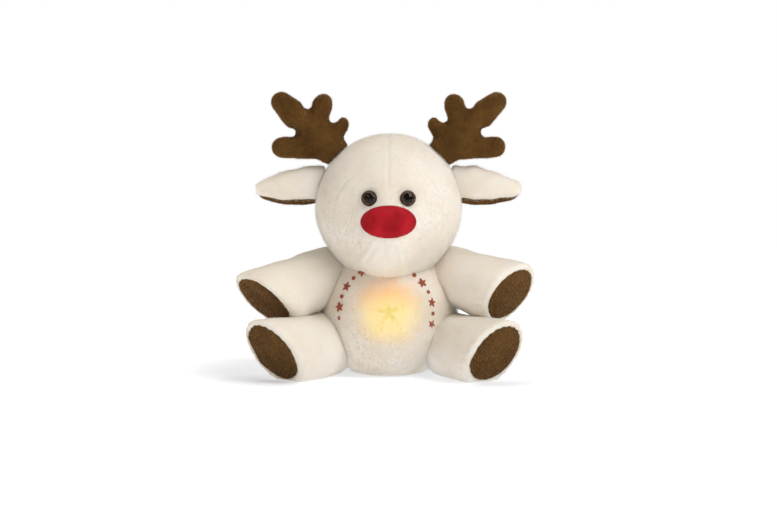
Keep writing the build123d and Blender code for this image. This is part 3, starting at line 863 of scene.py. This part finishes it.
def makePad(name, centre, facing, way, outward, size, seed):
    # a crowned sewn pad that fills the limb's end
    rings = 26
    points = [centre + facing * 0.9 * mm]
    spokes = len(outward)
    rim = -size * (outward @ facing) / (way @ facing)
    for ring in range(1, rings + 1):
        share = ring / rings
        crown = 1.4 * mm * (1 - share ** 3) - 0.7 * mm * ease(np.array(share), 0.9, 1.0)
        edge = (outward * size + rim[:, None] * way) * share
        points.extend(centre + edge + facing * (crown - 0.2 * mm))
    points.extend(centre + (outward * size + rim[:, None] * way) * 0.9 - facing * 2.2 * mm)
    points.append(centre - facing * 2.4 * mm)
    faces = [(0, 1 + s, 1 + (s + 1) % spokes) for s in range(spokes)]
    for ring in range(rings):
        for spoke in range(spokes):
            a = 1 + ring * spokes + spoke
            b = 1 + ring * spokes + (spoke + 1) % spokes
            faces.append((a, a + spokes, b + spokes, b))
    last = 1 + rings * spokes
    end = len(points) - 1
    faces += [(last + s, end, last + (s + 1) % spokes) for s in range(spokes)]
    pad = makeMesh(name, points, faces)
    moved = pointsOf(pad)
    moved += facing * (0.5 * mm * swell(moved, 22 * mm, seed + 5))[:, None]
    moved[:, 2] = np.maximum(moved[:, 2], 0.3 * mm)
    setPoints(pad, moved)
    faceOut(pad)
    paint(pad, brown)
    return pad


def limbPile(limb, way, across, seed):
    def comb(roots, out):
        return np.tile(way * 0.8 + np.array([0, 0, -0.35]), (len(roots), 1))

    def outside(roots, out):
        # none inside the body, under the foot, or on the flat end below the pad
        far = lengths((roots - bodyMiddle) / bodyHalf)
        keep = (far > 0.99) & (roots[:, 2] > 1.5 * mm) & (out @ way < 0.75)
        return keep & (lengths(roots - headMiddle) > headSize - 1 * mm)

    layPile(limb, "cream", None, seed, comb, outside, across=across)


limbs = []
for seed, side in enumerate(("left", "right")):
    for kind, jointName, pad in (("arm", "_arm_swing", "_paw_pad"), ("leg", "_leg_splay", "_foot_pad")):
        start, _ = jointPlace(side + jointName)
        back = np.array(limbShape[kind]["back"]) * (1 if side == "left" else -1, 1, 1)
        bodyName = side + "_" + kind
        limb, sole, way = makeLimb(bodyName + "_cloth", start, side + pad, limbShape[kind], 20 + seed, back)
        across = ("body", bodyName, tuple(start - way * 4 * mm), tuple(start + way * 30 * mm))
        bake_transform(limb)
        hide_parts(bodyName + "_cover", bodyName + "_stuffing")
        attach(sole, bodyName)
        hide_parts(side + pad)

        def onFront(roots, out, way=way):
            return out @ way > 0.3

        layPile(sole, "brown", bodyName, 156 + len(limbs), where=onFront)
        limbPile(limb, way, across, 151 + len(limbs))
        limbs.append(limb)
print("limbs made")


# lobes are (out, up, radius) from the root, folds run (from, to, depth)
antlerShape = {"palm": (21.5, 23.5, 19.5), "heel": (12, 10, 14.5), "stem": (1.5, 4.5, 14.8),
               "grain": 1.3, "deep": 13.0,
               "tips": [(50.6, 49.8, 10.4), (11.0, 49.4, 9.2), (-6.2, 28.8, 7.6), (50.4, 7.4, 10.0)],
               "folds": [((40, 22), (23, 17), 4.6), ((26, 48), (21, 32), 3.6), ((0, 36), (8, 27), 3.0)]}


def hullOf(points):
    work = bmesh.new()
    for point in points:
        work.verts.new(point)
    bmesh.ops.convex_hull(work, input=work.verts[:])
    bmesh.ops.delete(work, geom=[v for v in work.verts if not v.link_faces], context="VERTS")
    work.verts.index_update()
    corners = [v.co[:] for v in work.verts]
    faces = [[v.index for v in f.verts] for f in work.faces]
    work.free()
    return corners, faces


def foldDepth(points, root, sign):
    # how far the stuffing creases in towards each fork
    spot = np.stack([(points[:, 0] - root[0]) * sign, points[:, 2] - root[2]], 1)
    depth = np.zeros(len(points))
    for (out, up), (inOut, inUp), most in antlerShape["folds"]:
        first, last = np.array([out, up]) * mm, np.array([inOut, inUp]) * mm
        line = last - first
        share = np.clip(((spot - first) @ line) / (line @ line), 0, 1)
        away = lengths(spot - first - share[:, None] * line)
        depth += most * mm * dip(away, 4.6 * mm) * (1 - 0.7 * share)
    return depth


def makeAntler(side):
    sign = 1 if side == "left" else -1
    root, _ = jointPlace(side + "_antler_flex")
    lobes = [(antlerShape["palm"], antlerShape["heel"]), (antlerShape["heel"], antlerShape["stem"])]
    for tip in antlerShape["tips"]:
        near = antlerShape["heel"] if tip[1] < 20 or tip[0] < 0 else antlerShape["palm"]
        near = (near[0], near[1], near[2] * (0.98 if near is antlerShape["heel"] else 0.84))
        lobes.append((near, tip))
    directions, _ = ballDirections(4)
    points, faces = [], []
    for lobe in lobes:
        cloud = []
        for out, up, size in lobe:
            deep = min(antlerShape["deep"], size * (1.08 - 0.02 * size))
            middle = root + np.array([sign * out, 0, up]) * mm
            cloud.append(middle + directions * np.array([size, deep, size]) * mm)
        corners, sides = hullOf(np.concatenate(cloud))
        faces += [[i + len(points) for i in face] for face in sides]
        points += corners
    antler = makeMesh(side + "_antler_cover", points, faces)
    remeshed(antler, antlerShape["grain"], 14)
    shadeSmooth(antler)
    points = pointsOf(antler)
    normals = normalsOf(antler)
    push = 0.7 * mm * swell(points, 24 * mm, 31 + sign)
    # the side seam pulls the edge in
    push -= 0.6 * mm * dip(points[:, 1] - root[1], 0.9 * mm)
    push -= foldDepth(points, root, sign)
    points += normals * push[:, None]
    # stay off the head
    away = points - headMiddle
    far = lengths(away)
    least = headSize + 0.2 * mm
    points = headMiddle + away * np.maximum(far, least)[:, None] / far[:, None]
    setPoints(antler, points)
    paint(antler, brown)
    return antler


for side in ("left", "right"):
    antler = makeAntler(side)
    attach(antler, side + "_antler")
    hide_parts(side + "_antler_front", side + "_antler_back", side + "_antler_stuffing")
    rootOfAntler, _ = jointPlace(side + "_antler_flex")

    def antlerComb(roots, out, middle=rootOfAntler):
        return unit(roots - middle)

    def antlerShadeAndHighlight(roots, out, dice, middle=rootOfAntler, sign=1 if side == "left" else -1):
        # painted shade and highlight: the nap strands are dark in the creases, paler where the antler faces
        # up, and pale at the rim as a painted sheen, with a little random tone
        level = 0.4 + 0.6 * out[:, 2] + 2.3 * (1 - np.abs(out[:, 1])) + dice.normal(size=len(roots)) * 0.45
        level += 0.35 * swell(roots, 16 * mm, 77) - foldDepth(roots, middle, sign) / mm * 0.6
        return np.clip(np.round(level), 0, 2).astype(int)

    layPile(antler, "brown", side + "_antler", 161 + len(side), antlerComb, tint=antlerShadeAndHighlight)
print("antlers made")


# rows are (along, rise, half height, half depth)
earShape = {"cover": {"rows": [(-9, 0.5, 14.5, 5.0), (0, 0.0, 16.2, 6.0), (10, 1.0, 16.9, 7.4),
                               (18, 1.8, 16.4, 8.0), (34, 2.6, 13.6, 7.6), (47, 3.2, 10.4, 6.4),
                               (55, 3.8, 7.6, 5.2), (60, 4.2, 4.6, 3.6)],
                      "lumps": 0.9},
            "lining": {"rows": [(-9, -3.6, 14.0, 3.0), (0, -3.4, 15.6, 3.6), (18, -2.2, 16.0, 4.4),
                                (34, -1.4, 13.6, 4.2), (47, 0.0, 10.0, 3.4), (55, 1.0, 7.0, 2.6),
                                (58.5, 1.6, 3.6, 1.6)],
                       "lumps": 0.4}}


def makeEar(side, part, seed):
    shape = earShape[part]
    sign = 1 if side == "left" else -1
    root, up = jointPlace(side + "_ear_flap")
    up = up if up[2] > 0 else -up
    way = np.array([sign * up[2], 0, -sign * up[0]])
    rows = np.array(shape["rows"]) * mm
    steps = np.linspace(rows[0, 0], rows[-1, 0], 70)
    rise, high, deep = (np.interp(steps, rows[:, 0], rows[:, k]) for k in (1, 2, 3))
    kernel = np.hanning(9) / np.hanning(9).sum()
    rise, high, deep = (np.convolve(np.pad(row, 4, mode="edge"), kernel, "valid")
                        for row in (rise, high, deep))
    spokes = 96
    turns = np.linspace(0, 2 * math.pi, spokes, endpoint=False)
    # a folded top edge is fuller than the hem below
    fuller = 1 + 0.25 * np.maximum(np.sin(turns), 0)
    points = [root + way * step + up * r + np.outer(np.cos(turns) * fuller * d, (0, 1, 0))
              + np.outer(np.sin(turns) * h, up) for step, r, h, d in zip(steps, rise, high, deep)]
    tip = root + way * (steps[-1] + 1.4 * mm) + up * rise[-1]
    heel = root + way * (steps[0] - 1 * mm) + up * rise[0]
    points = np.concatenate(points + [[tip], [heel]])
    faces = gridFaces(len(steps), spokes)
    last = (len(steps) - 1) * spokes
    faces += [(last + k, last + (k + 1) % spokes, len(points) - 2) for k in range(spokes)]
    faces += [((k + 1) % spokes, k, len(points) - 1) for k in range(spokes)]
    ear = makeMesh(side + "_ear_" + part + "_cloth", points, faces)
    faceOut(ear)
    relax(ear, 5)
    points = pointsOf(ear)
    push = shape["lumps"] * mm * swell(points, 24 * mm, seed)
    if part == "cover":
        # a soft crease stands near the root
        along = (points - root) @ way
        push -= 0.9 * mm * dip(along - 15 * mm - 0.2 * ((points - root) @ up), 6 * mm)
    points += normalsOf(ear) * push[:, None]
    setPoints(ear, offHead(points))
    paint(ear, cream if part == "cover" else brown)
    return ear, way


def offHead(points):
    # what would sink into the head lies on it instead
    away = points - headMiddle
    far = lengths(away)
    return headMiddle + away * np.maximum(far, headSize - 0.6 * mm)[:, None] / far[:, None]


for seed, side in enumerate(("left", "right")):
    for part, slot in (("cover", "cream_pile"), ("lining", "brown_velvet")):
        ear, way = makeEar(side, part, 41 + seed)

        def earComb(roots, out, way=way):
            return np.tile(way + np.array([0, 0, -0.25]), (len(roots), 1))

        def offRoot(roots, out):
            return lengths(roots - headMiddle) > headSize + 0.5 * mm

        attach(ear, side + "_ear")
        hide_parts(side + "_ear_" + part)
        look = "cream" if part == "cover" else "brown"
        layPile(ear, look, side + "_ear", 171 + seed, earComb, offRoot)
print("ears made")


softShape = {"tail": {"voxel": 1.6, "relax": 6, "lumps": 0.8, "fill": 0.7},
             "back_flap": {"voxel": 0.9, "relax": 3, "lumps": 0.25},
             "loop_strip": {"voxel": 0.6, "relax": 2, "lumps": 0.05},
             "hook_strip": {"voxel": 0.6, "relax": 2, "lumps": 0.05},
             "back_pocket": {"voxel": 0.9, "relax": 3, "lumps": 0.15}}


def sewnLike(node, finish, name):
    # a cloth piece made on its solid's place, with softened edges and an uneven surface
    shape = softShape[node]
    piece = placed(name, frame["nodes"][node].data.copy())
    remeshed(piece, shape["voxel"], shape["relax"])
    points = pointsOf(piece)
    points += normalsOf(piece) * (shape["lumps"] * mm * swell(points, 12 * mm, len(node)))[:, None]
    points[:, 2] = np.maximum(points[:, 2], 0.2 * mm)
    setPoints(piece, points)
    shadeSmooth(piece)
    paint(piece, finish)
    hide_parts(node)
    return piece


tail = sewnLike("tail", cream, "tail_puff")
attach(tail, "tail")
layPile(tail, "cream", "tail", 181)

lining = wovenCloth("pocket_lining", (0.72, 0.70, 0.66))
hookLoop = wovenCloth("hook_and_loop", (0.80, 0.78, 0.74))
flap = sewnLike("back_flap", cream, "flap_cloth")
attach(flap, "flap")


def flapOutside(roots, out):
    return out[:, 1] > 0.2


layPile(flap, "cream", "flap", 191, where=flapOutside)
for node, bodyName in (("loop_strip", "flap"), ("hook_strip", "body")):
    strip = sewnLike(node, hookLoop, node + "_tape")
    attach(strip, bodyName)
pocket = sewnLike("back_pocket", lining, "pocket_cloth")
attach(pocket, "body")
print("back made")


def makeNeckThread():
    # small stitches round the crease between the head and the body
    points = pointsOf(frame["nodes"]["neck_stitching"])
    axis = (headMiddle - bodyMiddle) / np.linalg.norm(headMiddle - bodyMiddle)
    level = ((points - headMiddle) @ axis).mean()
    centre = headMiddle + axis * level
    across = np.array([1.0, 0, 0])
    forward = np.cross(axis, across)
    flat = np.stack([(points - centre) @ across, (points - centre) @ forward], 1)
    size = np.hypot(*flat.T).mean() - 0.9 * mm
    taken = np.degrees(np.arctan2(flat[:, 1], flat[:, 0])) % 360
    corners, faces = [], []
    directions, sides = ballDirections(2)
    for turn in np.arange(0, 360, 1.9):
        if np.abs((taken - turn + 180) % 360 - 180).min() > 1.2:
            continue
        spin = math.radians(turn)
        out = across * math.cos(spin) + forward * math.sin(spin)
        along = -across * math.sin(spin) + forward * math.cos(spin)
        lean = along * 0.93 + axis * 0.36
        stitch = np.outer(directions[:, 0] * 1.15 * mm, lean) + np.outer(directions[:, 1] * 0.42 * mm, out)
        stitch += np.outer(directions[:, 2] * 0.42 * mm, np.cross(lean, out))
        faces += [[i + len(corners) for i in side] for side in sides]
        corners += list(centre + out * size + stitch)
    return makeMesh("neck_thread", corners, faces)


neckThread = makeNeckThread()
paint(neckThread, stitchThread("cream_thread", (0.80, 0.75, 0.66)))
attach(neckThread, "neck")
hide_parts("neck_stitching")
print("neck made")


sewnArc = {"radius": 43 * mm, "count": 17, "span": 216, "tip": 4.9 * mm, "waist": 2.1 * mm, "dot": 1.9 * mm,
           "turn": -3}


def bellyPoint(x, z):
    # where a line back from the front meets the belly's cloth
    share = 1 - (x / bodySize) ** 2 - ((z - bodyMiddle[2]) / bodyTall) ** 2
    return np.array([x, -bodySize * math.sqrt(max(share, 0)), z])


def makeArc():
    # raised satin-stitch stars and dots in turn, along a circle round the lamp
    corners, faces = [], []
    for step in range(sewnArc["count"]):
        angle = math.radians(sewnArc["turn"] + sewnArc["span"] * (step / (sewnArc["count"] - 1) - 0.5))
        x = sewnArc["radius"] * math.sin(angle) - 2.5 * mm
        z = glowMiddle[2] - 1 * mm + sewnArc["radius"] * math.cos(angle)
        centre = bellyPoint(x, z)
        out = (centre - bodyMiddle) / bodyHalf ** 2
        out /= np.linalg.norm(out)
        up = np.array([math.sin(angle), 0, math.cos(angle)])
        up -= out * (up @ out)
        up /= np.linalg.norm(up)
        across = np.cross(up, out)
        star = step % 2 == 0
        rim = []
        spokes = 60
        for k in range(spokes):
            turn = 2 * math.pi * k / spokes
            pointed = abs(((k / spokes * 5) % 1) - 0.5) * 2
            size = sewnArc["waist"] + (sewnArc["tip"] - sewnArc["waist"]) * pointed ** 1.3
            size = size if star else sewnArc["dot"]
            rim.append((across * math.sin(turn) + up * math.cos(turn)) * size)
        base = len(corners)
        for share, lift in ((1.0, -0.6), (1.0, 1.1), (0.86, 1.7), (0.45, 2.0)):
            for k, spot in enumerate(rim):
                ridge = 0.16 * mm * math.sin(k * 2.1) if lift > 1 else 0
                corners.append(centre + spot * share + out * (lift * mm + ridge))
        corners.append(centre + out * 2.1 * mm)
        corners.append(centre - out * 0.6 * mm)
        faces += [tuple(base + i for i in face) for face in gridFaces(4, spokes)]
        top, foot = len(corners) - 2, len(corners) - 1
        faces += [(base + 3 * spokes + k, base + 3 * spokes + (k + 1) % spokes, top) for k in range(spokes)]
        faces += [(base + (k + 1) % spokes, base + k, foot) for k in range(spokes)]
    piece = makeMesh("belly_embroidery", corners, faces)
    faceOut(piece)
    return piece


embroidery = makeArc()
paint(embroidery, stitchThread("rust_thread", (0.46, 0.085, 0.022)))
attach(embroidery, "body")
print("embroidery made")


shellGrey = moulded("lamp_shell_plastic", (0.78, 0.77, 0.74), 0.4)
boxWhite = moulded("battery_box_plastic", (0.80, 0.79, 0.76), 0.38)
washer = moulded("washer_plastic", (0.10, 0.10, 0.10), 0.45)
switchBlack = moulded("switch_plastic", (0.025, 0.025, 0.027), 0.42)
boardGreen = moulded("board_laminate", (0.03, 0.16, 0.06), 0.35)
ledWhite = moulded("led_epoxy", (0.85, 0.78, 0.55), 0.2)
cellJacket = moulded("cell_jacket", (0.06, 0.10, 0.20), 0.3)
wireCoat = moulded("wire_jacket", (0.35, 0.03, 0.03), 0.4)


def brushedMetal(name, colour):
    recipe = Recipe(name)
    brush = recipe.noise(900, 3, 0.6, recipe.stretched(1, 12, 12))
    return recipe.finish(Base_Color=recipe.mix(brush, dimmed(colour, 0.8), colour), Metallic=1.0,
                         Roughness=brush * 0.2 + 0.2, Normal=recipe.bump(brush, 0.1, 0.00005))


def lampLens(name):
    recipe = Recipe(name)
    frost = recipe.noise(500, 3)
    return recipe.finish(Base_Color=recipe.mix(frost, (0.90, 0.80, 0.55), (0.96, 0.88, 0.66)), Roughness=0.5,
                         Normal=recipe.bump(frost, 0.2, 0.0002), Emission_Color=(1.0, 0.72, 0.32),
                         Emission_Strength=1.5)


steel = brushedMetal("zinc_steel", (0.62, 0.62, 0.64))
for node, finish in (("battery_box", boxWhite), ("battery_cover", boxWhite), ("cover_screw", steel),
                     ("batteries", cellJacket), ("battery_contacts", steel), ("power_switch", switchBlack),
                     ("lamp_housing", shellGrey), ("lamp_board", boardGreen), ("lamp_leds", ledWhite),
                     ("lamp_switch", switchBlack), ("lamp_lead", wireCoat),
                     ("lamp_diffuser", lampLens("lamp_lens")),
                     ("left_eye_washer", washer), ("right_eye_washer", washer)):
    paint(frame["nodes"][node], finish)
print("hard parts painted")


studioLook = {"sky": 0.17, "air": (1.0, 0.86, 0.70), "reach": 4.0, "aim": (0, -0.02, 0.12),
              "lamps": {"key": ((1.0, -0.95, 1.4), 1.2, 20.5, (1.0, 0.99, 0.975)),
                        "fill": ((-1.3, -0.9, 0.6), 1.3, 1.8, (1.0, 0.88, 0.74)),
                        "top": ((-0.1, 0.25, 1.6), 1.2, 8.5, (1.0, 0.985, 0.96)),
                        "spark": ((-0.75, -1.5, 0.85), 0.22, 1.6, (1.0, 1.0, 1.0))}}


def aimed(name, data, spot, aim):
    holder = placed(name, data)
    holder.location = spot
    holder.rotation_mode = "QUATERNION"
    holder.rotation_quaternion = (Vector(aim) - Vector(spot)).to_track_quat("-Z", "Y")
    return holder


def studio():
    recipe = Recipe("studio_paper")
    tone = recipe.noise(3, 2)
    far = recipe.node("ShaderNodeVectorMath", {"operation": "LENGTH"}, {0: recipe.place}, output="Value")
    # painted light: the floor glows, dimly near the toy and brightly further out, so the far floor looks
    # plain white
    lift = recipe.mix(recipe.fade(far, 0.14, 0.36), (0.36, 0.375, 0.40), (0.88, 0.88, 0.88))
    paper = recipe.finish(Base_Color=recipe.mix(tone, (0.84, 0.855, 0.88), (0.87, 0.885, 0.91)),
                          Roughness=0.8, Specular_IOR_Level=0.0, Emission_Color=lift, Emission_Strength=1.0)
    size = studioLook["reach"]
    corners = [(-size, -size, 0), (size, -size, 0), (size, size, 0), (-size, size, 0)]
    floor = makeMesh("studio_floor", corners, [(0, 1, 2, 3)])
    paint(floor, paper)
    # the sky lights the toy softly, and looks plain white itself
    world = bpy.data.worlds.new("studio")
    world.use_nodes = True
    tree = world.node_tree
    seen = tree.nodes.new("ShaderNodeLightPath")
    step = tree.nodes.new("ShaderNodeMapRange")
    step.inputs["To Min"].default_value = studioLook["sky"]
    step.inputs["To Max"].default_value = 1.0
    tree.links.new(seen.outputs["Is Camera Ray"], step.inputs["Value"])
    tree.links.new(step.outputs[0], tree.nodes["Background"].inputs["Strength"])
    shade = tree.nodes.new("ShaderNodeMix")
    shade.data_type = "RGBA"
    shade.inputs[6].default_value = (*studioLook["air"], 1)
    shade.inputs[7].default_value = (1.0, 1.0, 1.0, 1)
    tree.links.new(seen.outputs["Is Camera Ray"], shade.inputs[0])
    tree.links.new(shade.outputs[2], tree.nodes["Background"].inputs["Color"])
    bpy.context.scene.world = world
    bpy.context.scene.view_settings.view_transform = "Standard"
    for name, (spot, size, power, colour) in studioLook["lamps"].items():
        lamp = bpy.data.lights.new(name, "AREA")
        lamp.size, lamp.energy, lamp.color = size, power, colour
        aimed(name, lamp, spot, studioLook["aim"])


cameraView = {"place": (0.0, -1.391, 0.1585), "aim": (0.0, 0.0, 0.1088), "lens": 67.0}


def takeCamera():
    lens = bpy.data.cameras.new("camera")
    lens.lens, lens.sensor_width = cameraView["lens"], 36.0
    bpy.context.scene.camera = aimed("camera", lens, cameraView["place"], cameraView["aim"])


studio()
takeCamera()
